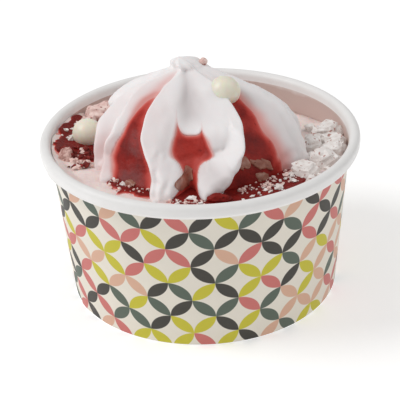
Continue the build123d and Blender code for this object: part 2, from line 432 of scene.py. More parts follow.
# The sheet's outline in radius and height, carried round the axis: three points for each corner. The lap
# raises the outside by one step that fades over the lap's width, and slow waves keep the rim from being true.
def cupWall():
    rollMiddle = cup["rimRadius"] - cup["rollRadius"]
    layer, bevel = cup["board"], cup["hemBevel"]
    wallUp = np.linspace(cup["footBevel"], cup["wallTop"], 14)
    outer = np.stack([wallRadius(wallUp), wallUp], -1)
    down = np.radians(np.linspace(*cup["lowerArc"], 14))
    up = np.radians(np.linspace(*cup["upperArc"], 18))
    lower = np.stack([np.cos(down), np.sin(down)], -1)*cup["rollRadius"] + (rollMiddle, cup["rollBottom"])
    upper = np.stack([np.cos(up), np.sin(up)], -1)*cup["rollRadius"] + (rollMiddle, cup["rollTop"])
    wallDown = np.linspace(cup["innerTop"], layer, 12)
    inner = np.stack([wallRadius(wallDown) - layer, wallDown], -1)
    hem = np.array([
        [wallRadius(layer) - 2*layer, layer],
        [wallRadius(cup["hem"]) - 2*layer, cup["hem"]],
        [wallRadius(cup["hem"]) - 3*layer, cup["hem"]],
        [wallRadius(bevel) - 3*layer, bevel],
        [wallRadius(0) - 3*layer + bevel, 0.0],
        [wallRadius(0) - cup["footBevel"], 0.0],
    ])
    outline = softCorners(np.concatenate([outer, lower, upper, inner, hem]), cup["corner"])
    seam = board["seamAzimuth"]
    atSeam = seam + np.array(cup["seamColumns"])
    azimuth = np.sort(np.concatenate([onceRound(cup["columns"]), atSeam]))
    along = turnFrom(seam, azimuth)*math.radians(1)*cup["rimRadius"]
    fade = [share*cup["seamWidth"] for share in cup["seamFade"]]
    raised = cup["seamStep"]*ease(-0.1, 0.1, along)*(1 - ease(*fade, along))
    ahead = np.roll(outline, -1, axis=0) - np.roll(outline, 1, axis=0)
    ahead /= np.linalg.norm(ahead, axis=1)[:, None]
    outward = np.stack([ahead[:, 1], -ahead[:, 0]], -1)
    lapPoints = 3*(len(outer) + len(lower) + len(upper) - cup["lapEnd"])
    onOutside = np.arange(len(outline)) < lapPoints
    onRoll = ease(*cup["waveStart"], outline[:, 1])
    wave = uneven(polar(azimuth, *cup["waveRing"]), cup["wave"])
    lift = raised[None, :]*onOutside[:, None] + wave[None, :]*onRoll[:, None]
    radius = outline[:, 0, None] + outward[:, 0, None]*lift
    height = outline[:, 1, None] + outward[:, 1, None]*lift*(outline[:, 1, None] > 1)
    grid = polar(azimuth[None, :], radius, height)
    rows, columns = grid.shape[:2]
    rowFinish = np.zeros(rows)
    rowFinish[1:3*len(outer)] = 1
    rowFinish[-3*(len(inner) + len(hem)):-3*len(hem)] = 2
    shell = grid.reshape(-1, 3), gridQuads(rows, columns, joinRows=True), np.zeros((0, 3), int)
    # the third finish carries the inner wall's smears and their painted shade
    finishes = [plainBoard("plainBoard"), printedBoard(), plainBoard("smearedShadedBoard", True)]
    faces = np.repeat(rowFinish, columns)
    return newPiece("cupWall", shell, finishes, ["cup_wall"], faceFinish=faces)


cupWall()
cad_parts["cup_base"].data.materials.clear()
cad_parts["cup_base"].data.materials.append(plainBoard("baseBoard"))
print("cup done")


# Ice cream: a fill that stands high at the front and low at the back

fill = {
    "floor": 6.55,
    "middleLevel": 43.0,
    # Height at the wall by azimuth
    "wallLevels": [(-180, 39.5), (-150, 39.8), (-130, 42.8), (-112, 45.4), (-85, 46.2), (-60, 46.4),
                   (-30, 46.6), (0, 46.2), (30, 45.9), (60, 45.2), (85, 43.9), (97, 43.1), (108, 42.2),
                   (118, 40.9), (132, 39.7), (180, 39.5)],
    "wallReach": 44.0,          # radius at which the wall's level is full
    "dish": 1.6,                # power by which the level runs out to it
    # Rise close to the wall by azimuth, where the fill clings to it
    "cling": [(-180, 0), (-142, 0), (-122, 1.5), (-80, 1.6), (-60, 1.1), (-36, 0), (180, 0)],
    "clingStart": (40.5, 44.2),
    "waves": ((0.22, 7.0, 21), (0.1, 2.6, 22)),
    "gap": 0.12,
    "columns": 300,
    "rings": 90,
}


# Height of the ice cream: from one level at the middle to the wall's level with a power of the radius, and a
# rise close to the wall.
def iceLevel(azimuth, radius):
    turn = turnFrom(0, azimuth)
    wall = through(fill["wallLevels"], turn)
    share = np.clip(radius/fill["wallReach"], 0, 1)**fill["dish"]
    cling = through(fill["cling"], turn)*ease(*fill["clingStart"], radius)
    return fill["middleLevel"] + (wall - fill["middleLevel"])*share + cling


# Pale pink in slow clouds, with whiter pores.
def iceCreamFinish():
    finish, shader, wire = newFinish("iceCream", Subsurface_Weight=0.15, Subsurface_Scale=0.002)
    cloud = grain(wire, 9.0, 4.0)
    pores = grain(wire, 1.1, 4.0)
    colour = cloud.ramp([(0.3, paint(244, 230, 226)), (0.7, paint(236, 214, 209))])
    colour = (pores*2.2 - 1.1).limited().mixed(colour, paint(246, 236, 232))
    cover(shader, wire, colour, pores, (0.45, 0.25), (0.25, 0.7))
    return finish


# Top as rings of a polar grid raised to the level, then down the wall and over the floor to its middle.
def iceCream():
    azimuth = onceRound(fill["columns"])[None, :]
    share = np.linspace(0.02, 1, fill["rings"])[:, None]**0.8
    inset = cup["board"] + fill["gap"]
    radius = share*(wallRadius(fill["middleLevel"]) - inset) + 0*azimuth
    height = iceLevel(azimuth, radius)
    edge = ease(0.9, 1.0, share)
    radius = radius + edge*cup["slope"]*(height - fill["middleLevel"])
    top = polar(azimuth, radius, height)
    top[..., 2] += uneven(top, *fill["waves"])
    sideHeight = np.linspace(0.94, 0, 12)[:, None]*(height[-1:] - fill["floor"]) + fill["floor"]
    side = polar(azimuth, wallRadius(sideHeight) - inset, sideHeight)
    floorRadius = np.linspace(0.9, 0.1, 6)[:, None]*(wallRadius(fill["floor"]) - inset)
    bottom = polar(azimuth, floorRadius, fill["floor"])
    grid = np.concatenate([top, side, bottom])
    shell = capped(grid, np.array([0, 0, fill["middleLevel"]]), np.array([0, 0, fill["floor"]]))
    return newPiece("iceCream", shell, [iceCreamFinish()], ["ice_cream"])


iceCream()
print("ice cream done")


# Cream rosette: ridges that fan out from one peak, with hollow valleys between

rosette = {
    "foot": 38.6,
    "levelZero": 39.3,          # level 0 and level 1, as heights
    "levelOne": 72.4,
    "radius": 34.0,
    "footMiddle": (0.0, -3.0),
    "peakMiddle": (-3.9, 5.0),
    # Reach of the ridges by level, as a share of the radius
    "crest": [(-0.05, 0.95), (0, 0.97), (0.2, 1), (0.38, 0.95), (0.55, 0.83), (0.68, 0.61), (0.8, 0.36),
              (0.84, 0.225), (0.87, 0.145), (0.89, 0.113), (0.91, 0.105)],
    "tipTop": 0.972,
    "dome": 1.4,                # power that draws the tip's dome in
    "lean": 1.2,                # how far the tip leans to the left
    "leanStart": 0.88,
    "noseDrop": 0.035,          # fall of a ridge's rounded nose from its crest to its sides
    "softness": 1.1,            # degrees between the places that are averaged to round edges
    "weights": ((-2, 0.1), (-1, 0.22), (0, 0.36), (1, 0.22), (2, 0.1)),
    "columns": 540,
    "rows": 148,
    "tipRows": 8,
}

# Each ridge by level: azimuth of its crest, reach, half width of its nose in degrees, and depth of the valley
# after it. The valley's floor lies at a share of the way to the next ridge, and square is the power by which
# its sides fall.
ridges = [
    {"name": "leftOuter",
     "crest": [(0, -98), (0.5, -98), (0.63, -97), (0.74, -103), (0.83, -100), (1, -104)],
     "reach": [(0, 0.74), (0.45, 0.78), (0.58, 0.92), (0.68, 1), (1, 1)],
     "nose": [(0, 4), (1, 4)],
     "depth": [(0, 0.1), (0.5, 0.12), (0.7, 0.1), (1, 0.05)], "floor": 0.5, "square": 2.0},
    {"name": "leftInner",
     "crest": [(0, -68), (0.3, -68), (0.45, -69), (0.6, -76), (0.72, -86), (1, -88)],
     "reach": [(0, 0.98), (0.2, 0.97), (0.32, 0.98), (0.6, 1), (0.72, 0.95), (0.85, 0.9), (1, 1)],
     "nose": [(0, 3), (1, 3)],
     "depth": [(0, 0.05), (0.4, 0.075), (0.6, 0.09), (0.75, 0.09), (0.9, 0.05), (1, 0.02)], "floor": 0.7,
     "square": 2.0},
    {"name": "leftEdge",
     "crest": [(0, -52), (0.19, -53), (0.27, -56), (0.35, -59.5), (0.43, -59.5), (0.52, -57.8),
               (0.61, -60), (0.67, -64), (0.72, -69), (0.79, -72), (1, -68)],
     "reach": [(0, 1.04), (0.2, 1.06), (0.27, 1), (0.36, 0.94), (0.5, 0.95), (0.65, 0.97), (1, 1)],
     "nose": [(0, 1.6), (1, 1.6)],
     "depth": [(0, 0.26), (0.3, 0.28), (0.6, 0.3), (0.75, 0.27), (0.9, 0.16), (1, 0.06)],
     "floor": 0.64, "square": 2.2},
    {"name": "frontLeft",
     "crest": [(0, -17), (0.3, -16.5), (0.4, -21), (0.5, -27.5), (0.6, -32.5), (0.7, -36.5), (0.8, -37.5),
               (0.92, -33), (1, -30)],
     "reach": [(0, 1.08), (0.18, 1.1), (0.25, 1.1), (0.33, 1.06), (0.45, 1.03), (0.8, 1.03), (1, 1)],
     "nose": [(0, 6), (0.3, 5.5), (0.4, 3.5), (0.5, 2), (0.6, 1.6), (1, 1.6)],
     "depth": [(0, 0.22), (0.4, 0.23), (0.6, 0.25), (0.8, 0.26), (0.9, 0.18), (1, 0.05)],
     "floor": 0.5, "square": 2.0},
    {"name": "frontRight",
     "crest": [(0, 3.5), (0.21, 4.5), (0.27, 7), (0.33, 12), (0.38, 17), (0.45, 23), (0.5, 26.5),
               (0.6, 33.5), (0.68, 39), (0.74, 42), (0.8, 43), (0.92, 45), (1, 48)],
     "reach": [(0, 1.08), (0.2, 1.1), (0.26, 1.09), (0.36, 1.07), (0.45, 1.03), (0.72, 1.03), (0.8, 1.16),
               (0.84, 1.3), (0.87, 1.3), (0.92, 1.15), (1, 1)],
     "nose": [(0, 3.5), (0.2, 4), (0.3, 6.5), (0.38, 5.5), (0.45, 3), (0.5, 2), (1, 1.6)],
     "depth": [(0, 0.24), (0.3, 0.27), (0.55, 0.29), (0.7, 0.28), (0.85, 0.2), (1, 0.06)],
     "floor": 0.36, "square": 2.2},
    {"name": "right",
     "crest": [(0, 67), (0.3, 69), (0.5, 74), (0.6, 78), (0.7, 83), (0.8, 86), (1, 95)],
     "reach": [(0, 1), (0.8, 1), (0.87, 1.4), (0.92, 1.3), (1, 1)],
     "nose": [(0, 10), (0.5, 10), (0.7, 9), (1, 4)],
     "depth": [(0, 0.14), (0.5, 0.18), (0.8, 0.16), (1, 0.06)], "floor": 0.5, "square": 2.0},
]
# The plainer ones at the back: name, azimuth at foot and peak, reach at shoulder and neck
for name, foot, peak, shoulder, neck in (
    ("rightBack", 108, 122, 0.74, 1.45),
    ("backRight", 152, 164, 0.66, 0.9),
    ("backLeft", 192, 200, 0.66, 0.9),
    ("leftBack", 228, 234, 0.7, 0.9),
):
    reach = [(0, 1), (0.3, 0.98), (0.55, 0.84), (0.7, shoulder), (0.8, shoulder), (0.9, neck), (1, 1)]
    ridges.append({"name": name, "crest": [(0, foot), (1, peak)], "reach": reach, "nose": [(0, 5), (1, 3)],
                   "depth": [(0, 0.18), (0.8, 0.18), (1, 0.06)], "floor": 0.5, "square": 2.0})
crestOf = {ridge["name"]: ridge["crest"] for ridge in ridges}

# The hollow under the hood of the two front ridges, with a white tongue of cream hanging into it
hollow = {
    # Azimuth of its sides by level
    "left": [(0.1, -16), (0.214, -12.3), (0.237, -10.3), (0.279, -8.9), (0.324, -8.9), (0.364, -10.1),
             (0.41, -12.4), (0.453, -14.4), (0.481, -15), (0.534, -14.4), (0.588, -13.7), (0.63, -13.1),
             (0.7, -12)],
    "right": [(0.1, 2.6), (0.208, 0.8), (0.255, 0.6), (0.299, 1.2), (0.345, 2.7), (0.385, 6.1), (0.413, 10.1),
              (0.438, 11.9), (0.475, 11.3), (0.527, 10.5), (0.574, 9.7), (0.7, 8.6)],
    "tongue": -0.8,             # azimuth of the tongue's lowest point
    "tip": 0.549,               # level of that point
    "halfWidth": 11.5,
    "tongueEnd": 1.4,           # half widths after which its edge runs level
    "riseLeft": 0.088,          # rise of its edge to either side
    "riseRight": 0.078,
    "deep": 2.0,
    "lip": 1.3,                 # width of its rounded edge
}

# The hood's own groove down to the tongue by level: azimuth of its floor, half width and depth in
# millimetres, and how steep its sides are
hood = {
    "floor": [(0.5, -1), (0.62, -1.5), (0.673, -1), (0.726, 0), (0.779, 1.5), (0.832, 2), (0.9, 0)],
    "width": [(0.5, 4.6), (0.65, 4.4), (0.72, 4.0), (0.79, 3.3), (0.85, 2.3), (0.93, 1.0)],
    "depth": [(0.45, 0.5), (0.56, 1.2), (0.64, 2.4), (0.75, 2.7), (0.84, 1.7), (0.9, 0.7), (0.94, 0)],
    "steepLeft": 1.5,
    "steepRight": 0.9,
}

# Folds in the cream: half width, depth and height of the lip in millimetres, then the line's (azimuth, level)
# points. The lip is on the right of the line as it is followed, or on the left where its height is negative.
folds = [
    (0.9, 1.1, -0.9, [(-96, 0.802), (-86, 0.791), (-80, 0.775), (-76, 0.75), (-76, 0.7), (-74.5, 0.67),
                      (-71.5, 0.64), (-67.8, 0.6), (-64.6, 0.515), (-63.8, 0.41), (-64.5, 0.28)]),
    (0.9, 1.2, 1.1, [(8.5, 0.405), (11.4, 0.43), (15.2, 0.455), (19.6, 0.487), (22.5, 0.521), (25.3, 0.552),
                     (27, 0.58)]),
    (1.1, 0.5, 0.45, [(14.5, 0.44), (12.9, 0.422), (8.6, 0.379), (5.2, 0.337), (2.2, 0.299)]),
    (0.9, 0.6, 0.4, [(17, 0.4), (18.5, 0.35), (17, 0.29)]),
    (0.7, 0.55, 0.45, [(-20.8, 0.458), (-19.7, 0.421), (-19.6, 0.37), (-19.1, 0.3), (-19.2, 0.23)]),
    (0.7, 0.4, 0.3, [(-16.4, 0.435), (-14, 0.387), (-13.1, 0.344), (-15.5, 0.26)]),
    (0.5, 0.5, 0.3, [(-44, 0.83), (-38, 0.865), (-30, 0.9)]),
    (0.5, 0.4, 0.2, [(60, 0.845), (50, 0.87), (40, 0.9)]),
]
foldLip = {"away": 1.7, "width": 1.3}       # the lip's crest and its half width, in half widths of the fold
# Farther than this from a fold's line, in millimetres, a point counts as on it, which dents a few back feet.
foldFar = 99.0

creamUneven = {
    # Slow, fine, at the feet, finer there, and at the knob: squeeze of the heights, amount, size and seed
    "waves": [(1, 0.3, 11.0, 31), (0.4, 0.09, 3.4, 32), (0.7, 0.35, 6.0, 34), (1, 0.16, 2.6, 36),
              (1, 0.45, 3.2, 35)],
    "slender": 6.0,             # radius under which the first two fade
    "bodyStart": (-0.05, 0.3),
    "feetEnd": (0.25, 0.42),
    "knobStart": (0.85, 0.91),
}
creamTall = rosette["levelOne"] - rosette["levelZero"]


# The rosette's middle runs straight from the foot's to the peak's.
def creamMiddle(level):
    foot, peak = np.array(rosette["footMiddle"]), np.array(rosette["peakMiddle"])
    return foot[0] + (peak[0] - foot[0])*level, foot[1] + (peak[1] - foot[1])*level


# The point at an azimuth and radius round that middle, at the level's height.
def creamPoint(azimuth, level, radius):
    return polar(azimuth, radius, rosette["levelZero"] + level*creamTall, creamMiddle(level))


# Share of the full reach at an azimuth and level. A nose falls with the square of the turn from its crest.
# From nose to nose the valley dips by its depth times 1 - (1 - share of the way to its floor)^square.
def ridgeShare(azimuth, level):
    share = np.zeros(np.broadcast(azimuth, level).shape)
    for ridge, after in zip(ridges, ridges[1:] + ridges[:1]):
        crest, nose, reach = (through(ridge[key], level) for key in ("crest", "nose", "reach"))
        nextCrest, nextNose, nextReach = (through(after[key], level) for key in ("crest", "nose", "reach"))
        turn = turnFrom(crest, azimuth)
        way = ((azimuth - crest) % 360 - nose)/((nextCrest - crest) % 360 - nose - nextNose)
        toFloor = np.where(way < ridge["floor"], way/ridge["floor"], (1 - way)/(1 - ridge["floor"]))
        dip = through(ridge["depth"], level)*(1 - np.clip(1 - toFloor, 0, 1)**ridge["square"])
        valley = (reach + (nextReach - reach)*way)*(1 - rosette["noseDrop"])*(1 - dip)
        share = np.where((way > 0) & (way < 1), valley, share)
        share = np.where(np.abs(turn) <= nose, reach*(1 - rosette["noseDrop"]*(turn/nose)**2), share)
    return share


# Distance in millimetres inside the hollow's edge: the least of those to its left, its right and the tongue,
# whose edge rises with the third power of the turn from its lowest point.
def insideHollow(azimuth, level, radius):
    arc = radius*math.radians(1)
    fromLeft = turnFrom(through(hollow["left"], level), azimuth)*arc
    toRight = -turnFrom(through(hollow["right"], level), azimuth)*arc
    off = turnFrom(hollow["tongue"], azimuth)/hollow["halfWidth"]
    rise = np.where(off < 0, hollow["riseLeft"], hollow["riseRight"])
    edge = hollow["tip"] + rise*np.minimum(np.abs(off), hollow["tongueEnd"])**3
    toTongue = (edge - level)*creamTall
    return np.minimum(np.minimum(fromLeft, toRight), toTongue)


# Soft unevenness of the cream: slow waves, finer ones drawn out downwards, lumpy feet and a lumpy knob.
def creamWaves(azimuth, level, radius):
    place = creamPoint(azimuth, level, radius)
    slow, fine, foot, toes, knob = (uneven(place*(1, 1, squeeze), wave)
                                    for squeeze, *wave in creamUneven["waves"])
    body = (slow + fine)*np.minimum(1, radius/creamUneven["slender"])*ease(*creamUneven["bodyStart"], level)
    feet = (foot + toes)*(1 - ease(*creamUneven["feetEnd"], level))
    return body + feet + knob*ease(*creamUneven["knobStart"], level)


# A fold across its nearest line: a bell shaped groove, and a wider bell on one side as its lip. Offsets from
# the line are taken on the surface, in millimetres.
def creamFolds(azimuth, level, radius):
    arc = radius*math.radians(1)
    change = 0*radius
    for width, depth, lip, line in folds:
        nearest, side = np.full(radius.shape, foldFar), np.zeros(radius.shape)
        for (startAzimuth, startLevel), (endAzimuth, endLevel) in zip(line, line[1:]):
            x, y = turnFrom(startAzimuth, azimuth)*arc, (level - startLevel)*creamTall + 0*arc
            dx, dy = (endAzimuth - startAzimuth)*arc, (endLevel - startLevel)*creamTall
            along = np.clip((x*dx + y*dy)/(dx*dx + dy*dy), 0, 1)
            offX, offY = x - along*dx, y - along*dy
            distance = np.hypot(offX, offY)
            side = np.where(distance < nearest, np.sign(dy*x - dx*y), side)
            nearest = np.minimum(nearest, distance)
        across = nearest*side/width
        crest = math.copysign(foldLip["away"], lip)
        raised = abs(lip)*np.exp(-((across - crest)/foldLip["width"])**2)
        change = change + raised - depth*np.exp(-across**2)
    return change


# Groove of the hood: a bell across it, steeper on its left.
def hoodGroove(azimuth, level, radius):
    off = turnFrom(through(hood["floor"], level), azimuth)*radius*math.radians(1)
    off = off/through(hood["width"], level)
    steep = np.where(off < 0, hood["steepLeft"], hood["steepRight"])
    return through(hood["depth"], level)*np.exp(-(steep*off)**2)


# Radius of the cream: reach times the ridges' share, averaged over a few degrees to round its edges, with
# waves and folds added, and the hood's groove and the hollow taken out.
def creamRadius(azimuth, level):
    share = sum(weight*ridgeShare(azimuth + step*rosette["softness"], level)
                for step, weight in rosette["weights"])
    radius = rosette["radius"]*through(rosette["crest"], level)*share
    radius = radius + creamWaves(azimuth, level, radius) - hoodGroove(azimuth, level, radius)
    inside = insideHollow(azimuth, level, radius)
    radius = radius + creamFolds(azimuth, level, radius)*(1 - ease(-0.4, 0.4, inside))
    return radius - hollow["deep"]*ease(0, hollow["lip"], inside)


shore = paint(222, 156, 150)        # where sauce and cream meet, both have this colour


# Off-white in slow clouds, greyed where it is shaded and pink where the sauce has stained it.
def creamFinish():
    finish, shader, wire = newFinish("cream", Subsurface_Weight=0.2, Subsurface_Scale=0.002,
                                     Subsurface_Radius=(1.0, 0.75, 0.7), Specular_IOR_Level=0.4)
    fine = grain(wire, 0.7, 4.0)
    colour = grain(wire, 8.0).mixed(paint(250, 247, 246), paint(243, 237, 238))
    colour = kept(wire, "shade").mixed(colour, paint(206, 197, 197))
    colour = kept(wire, "stain").mixed(colour, shore)
    cover(shader, wire, colour, fine, (0.4, 0.2), (0.05, 0.5))
    return finish


# Sauce on the cream: in the hollow, and in the canyons outside the two front ridges
sauce = {
    # How far it stands below the hollow's edge, by level
    "belowLip": [(0, 0.7), (0.38, 0.7), (0.44, 0.3), (0.52, 0.3), (0.56, 0.7)],
    # Reach of the sauce in each canyon by level, as a share of the ridges' reach
    "leftCanyon": [(0, 0.98), (0.2, 0.96), (0.3, 0.9), (0.44, 0.86), (0.58, 0.83), (0.64, 0.8), (0.7, 0.74),
                   (0.76, 0.6), (1, 0.3)],
    "rightCanyon": [(0, 0.9), (0.27, 0.883), (0.374, 0.86), (0.46, 0.815), (0.56, 0.79), (0.667, 0.785),
                    (0.74, 0.73), (1, 0.4)],
    "azimuths": (-74.0, 74.0),
    "levels": (0.02, 0.84),
    "columns": 320,
    "rows": 132,
    "under": -0.6,              # how far its edge dives under the cream
    "none": -9.0,               # depth that stands for no sauce
    "thickness": 1.2,           # of the slab below the cream's surface
    # Left of an azimuth the colour thins to a share at the outer side, over degrees that shrink by level
    "thinLeftOf": -36.0,
    "outerShare": 0.1,
    "outerFade": (1, 13, 8),
    "outerShrink": (0.4, 0.6),
    # It thins to a share at the inner side too, over degrees from the front left ridge
    "innerShare": 0.35,
    "innerFade": (8, 20),
    "innerStart": 4.0,
}


# Depth of the sauce over the cream, below zero where it lies under it.
def sauceDepth(azimuth, level, radius):
    reach = rosette["radius"]*through(rosette["crest"], level)
    inside = insideHollow(azimuth, level, radius)
    inHollow = hollow["deep"]*ease(0, hollow["lip"], inside) - through(sauce["belowLip"], level)
    inHollow = inHollow + np.minimum(inside, 0)
    past = {name: turnFrom(through(crest, level), azimuth) > 0 for name, crest in crestOf.items()}
    deepest = np.maximum(inHollow, sauce["none"])
    for canyon, ridge, after in (("left", "leftEdge", "frontLeft"), ("right", "frontRight", "right")):
        depth = reach*through(sauce[canyon + "Canyon"], level) - radius
        deepest = np.where(past[ridge] & ~past[after], np.maximum(deepest, depth), deepest)
    return deepest


# Wet red sauce: clear and pink where it is thin, dark where it is deep, with slow clouds, a few dark seeds
# and a coat that grows with depth.
def sauceFinish(name, dark=0.25):
    finish, shader, wire = newFinish(name, Coat_Roughness=0.14, Specular_IOR_Level=0.1)
    cloud = grain(wire, 5.0, 5.0)
    ripple = grain(wire, 2.0, 4.0)
    seeds = grain(wire, 1.3, 0.0)
    depth = kept(wire, "depth")
    thick = ((depth*0.4).limited()*(dark + 1.1*cloud) + 0.14*(depth*0.4 - 1.0).limited()).limited()
    colour = thick.ramp([(0.0, shore), (0.1, paint(214, 122, 114)), (0.26, paint(200, 84, 76)),
                         (0.5, paint(178, 56, 48)), (0.8, paint(142, 34, 28)), (1.0, paint(118, 26, 22))])
    colour = ((seeds - 0.75)*9.0*thick).limited().mixed(colour, paint(84, 18, 16))
    feed(shader, wire, Base_Color=colour, Roughness=0.5 - 0.1*thick, Coat_Weight=0.08*thick,
         Normal=bumped(wire, ripple, 0.7, 0.6))
    return finish


always = (-2, -1)       # levels below the foot: a patch that starts there is full from the foot on
tint = {
    "blotch": (0.15, 9.0, 33),
    # How far the stain spreads from the sauce: at the front and on the left from one reach to another between
    # two levels, and on the right
    "front": (0.3, 1.6, 0.4, 0.46),
    "left": (0.9, 4.9, 0.55, 0.74),
    "right": 4.2,
    "sides": 38.0,              # azimuth where front ends and left or right begins
    "edge": 0.05,
    "stainEnd": (0.8, 0.88),
    # Patches: amount, azimuth, half width in degrees, and the levels over which each starts and ends
    "gully": (0.32, -52, 11, (0.6, 0.72), (0.84, 0.92)),
    "blushes": [(0.12, -30, 12, always, (0.7, 0.85)), (0.1, -72, 16, always, (0.8, 0.92)),
                (0.34, -62, 14, always, (0.3, 0.6))],
    "flank": [(0, 56), (0.4, 60), (0.5, 62), (0.6, 66), (0.75, 70)],       # azimuth by level
    "flankShade": (0.55, 8, always, (0.7, 0.85)),
    "footShade": (0.6, 9, 9, always, (0.36, 0.44)),
    "ridgeShade": (0.4, -18, 4, (0.42, 0.5), (0.6, 0.7)),
    "grooveShade": 0.32,
    "grooveStart": (0.54, 0.66),
    # Inner side of the front right ridge, up to its curled edge
    "curl": [(0.42, 12), (0.455, 15.2), (0.487, 19.6), (0.52, 22.5), (0.552, 25.3), (0.7, 34)],
    "curlShade": 0.6,
    "curlStart": (8, 12),
    "curlEdge": (-2, 1.5),
    "curlLevels": (0.42, 0.44, 0.49, 0.6),
    "most": 0.8,
}


# A soft patch: a bell round an azimuth, eased in and out by level.
def patch(azimuth, level, amount, middle, halfWidth, start, end):
    across = np.exp(-(turnFrom(middle, azimuth)/halfWidth)**2)
    return amount*across*ease(*start, level)*(1 - ease(*end, level))


# Stain fades outwards from the sauce: narrow at the feet, wide at the top of the left canyon and on the right
# ridge's side. A gully and some blushes are added as patches.
def creamStain(azimuth, level, radius, grid):
    blotch = 0.9 + uneven(grid, tint["blotch"])
    front, left = (low + (high - low)*ease(start, end, level)
                   for low, high, start, end in (tint["front"], tint["left"]))
    right = np.where(azimuth > tint["sides"], tint["right"], front)
    wide = np.where(azimuth < -tint["sides"], left, right)
    stain = ease(-wide*blotch, tint["edge"], sauceDepth(azimuth, level, radius))**1.5
    stain = stain*(1 - ease(*tint["stainEnd"], level)) + patch(azimuth, level, *tint["gully"])
    blush = sum(patch(azimuth, level, *spot) for spot in tint["blushes"])
    return np.clip(stain + blush*blotch, 0, 1)


# Grey in the hood's groove, on the right ridge's flank, at the right foot, beside the left ridge, and inside
# the curled edge of the front right ridge.
def creamShade(azimuth, level, radius):
    shade = tint["grooveShade"]*hoodGroove(azimuth, level, radius)*ease(*tint["grooveStart"], level)
    amount, *spread = tint["flankShade"]
    shade = shade + patch(azimuth, level, amount, through(tint["flank"], level), *spread)
    shade = shade + patch(azimuth, level, *tint["footShade"]) + patch(azimuth, level, *tint["ridgeShade"])
    toCurl = turnFrom(through(tint["curl"], level), azimuth)
    inner = ease(*tint["curlStart"], azimuth)*(1 - ease(*tint["curlEdge"], toCurl))
    inner = inner*ease(*tint["curlLevels"][:2], level)*(1 - ease(*tint["curlLevels"][2:], level))
    return np.clip(shade + tint["curlShade"]*inner, 0, tint["most"])


# Rows of levels from the foot to where the tip starts, then rows round the tip's dome, which leans.
def creamRosette():
    azimuth = onceRound(rosette["columns"])[None, :]
    tipStart = rosette["crest"][-1][0]
    low = (rosette["foot"] - rosette["levelZero"])/creamTall
    level = np.linspace(low, tipStart, rosette["rows"])[:, None]
    radius = creamRadius(azimuth, level)
    dome = np.radians(np.linspace(90/rosette["tipRows"], 88, rosette["tipRows"]))[:, None]
    level = np.concatenate([level, tipStart + (rosette["tipTop"] - tipStart)*np.sin(dome)])
    radius = np.concatenate([radius, radius[-1:]*np.cos(dome)**rosette["dome"]])
    grid = creamPoint(azimuth, level, radius)
    grid[..., 0] -= rosette["lean"]*ease(rosette["leanStart"], rosette["tipTop"], level)
    tints = {"stain": creamStain(azimuth, level, radius, grid), "shade": creamShade(azimuth, level, radius)}
    values = {key: np.append(value.ravel(), [0, 0]) for key, value in tints.items()}
    tip = creamPoint(np.array(0.0), np.array(rosette["tipTop"]), np.array(0.0)) - (rosette["lean"], 0, 0)
    shell = capped(grid, np.array([*creamMiddle(low), rosette["foot"]]), tip)
    return newPiece("creamRosette", shell, [creamFinish()], ["cream_rosette"], values)


# The sauce on the cream: the cream's own surface moved out by the sauce's depth. Its colour thins out towards
# both sides of the left canyon.
def creamSauce():
    azimuth = np.linspace(*sauce["azimuths"], sauce["columns"])[None, :]
    level = np.linspace(*sauce["levels"], sauce["rows"])[:, None]
    radius = creamRadius(azimuth, level)
    depth = sauceDepth(azimuth, level, radius)
    top = creamPoint(azimuth, level, radius + np.maximum(depth, sauce["under"]))
    bottom = creamPoint(azimuth, level, radius - sauce["thickness"])
    fromEdge = turnFrom(through(crestOf["leftEdge"], level), azimuth)
    toFront = -turnFrom(through(crestOf["frontLeft"], level), azimuth)
    fadeStart, fadeLow, fadeHigh = sauce["outerFade"]
    fadeEnd = fadeLow + (fadeHigh - fadeLow)*ease(*sauce["outerShrink"], level)
    outer = sauce["outerShare"] + (1 - sauce["outerShare"])*ease(fadeStart, fadeEnd, fromEdge)
    inner = sauce["innerShare"] + (1 - sauce["innerShare"])*ease(*sauce["innerFade"], toFront)
    shown = depth*np.where(azimuth < sauce["thinLeftOf"], outer, 1)
    shown = shown*np.where(toFront > sauce["innerStart"], inner, 1)
    values = {"depth": np.tile(shown.ravel(), 2)}
    berrySauce = sauceFinish("berrySauce")
    return newPiece("creamSauce", slab(top, bottom), [berrySauce], ["berry_sauce"], values)


# Clear brown shards that lie on the sauce: four corners as (azimuth, level), in turn
shards = {
    "betweenFeet": [(-9.6, 0.365), (-1.6, 0.34), (-4.4, 0.225), (-10.8, 0.21)],
    "leftLow": [(-40, 0.25), (-34, 0.265), (-33.5, 0.165), (-39.4, 0.15)],
    "rightOne": [(24, 0.41), (33, 0.385), (31, 0.3), (23, 0.32)],
    "rightTwo": [(32.5, 0.375), (47, 0.3), (44, 0.24), (33, 0.3)],
    "rightThree": [(34, 0.27), (43, 0.215), (40, 0.16), (32, 0.19)],
}
shard = {
    "thickness": 0.5,
    "sunk": 0.8,                # how far its underside lies below the sauce
    "thinEdge": 0.12,           # share of its width over which it thins out
    "wave": (0.12, 2.2, 72),
    "rounded": 0.4,
    "bite": (0.8, -0.012),      # how far its outline is bitten, in degrees and in level
    "biteSize": 3.6,
    "biteSeed": 71,
    "perLevel": 60.0,           # degrees that count as much as one level in a bite
    "rows": 14,
}


# Clouds of colour from stop to stop, which also roughen and bump the surface, with small specks where asked.
def cloudFinish(name, size, stops, rough, bump, detail=4.0, specks=None, **fixed):
    finish, shader, wire = newFinish(name, **fixed)
    cloud = grain(wire, size, detail)
    colour = cloud.ramp(stops)
    if specks:
        colour = ((grain(wire, 1.0, 0.0) - 0.7)*12.0).limited().mixed(colour, specks)
    cover(shader, wire, colour, cloud, rough, bump)
    return finish


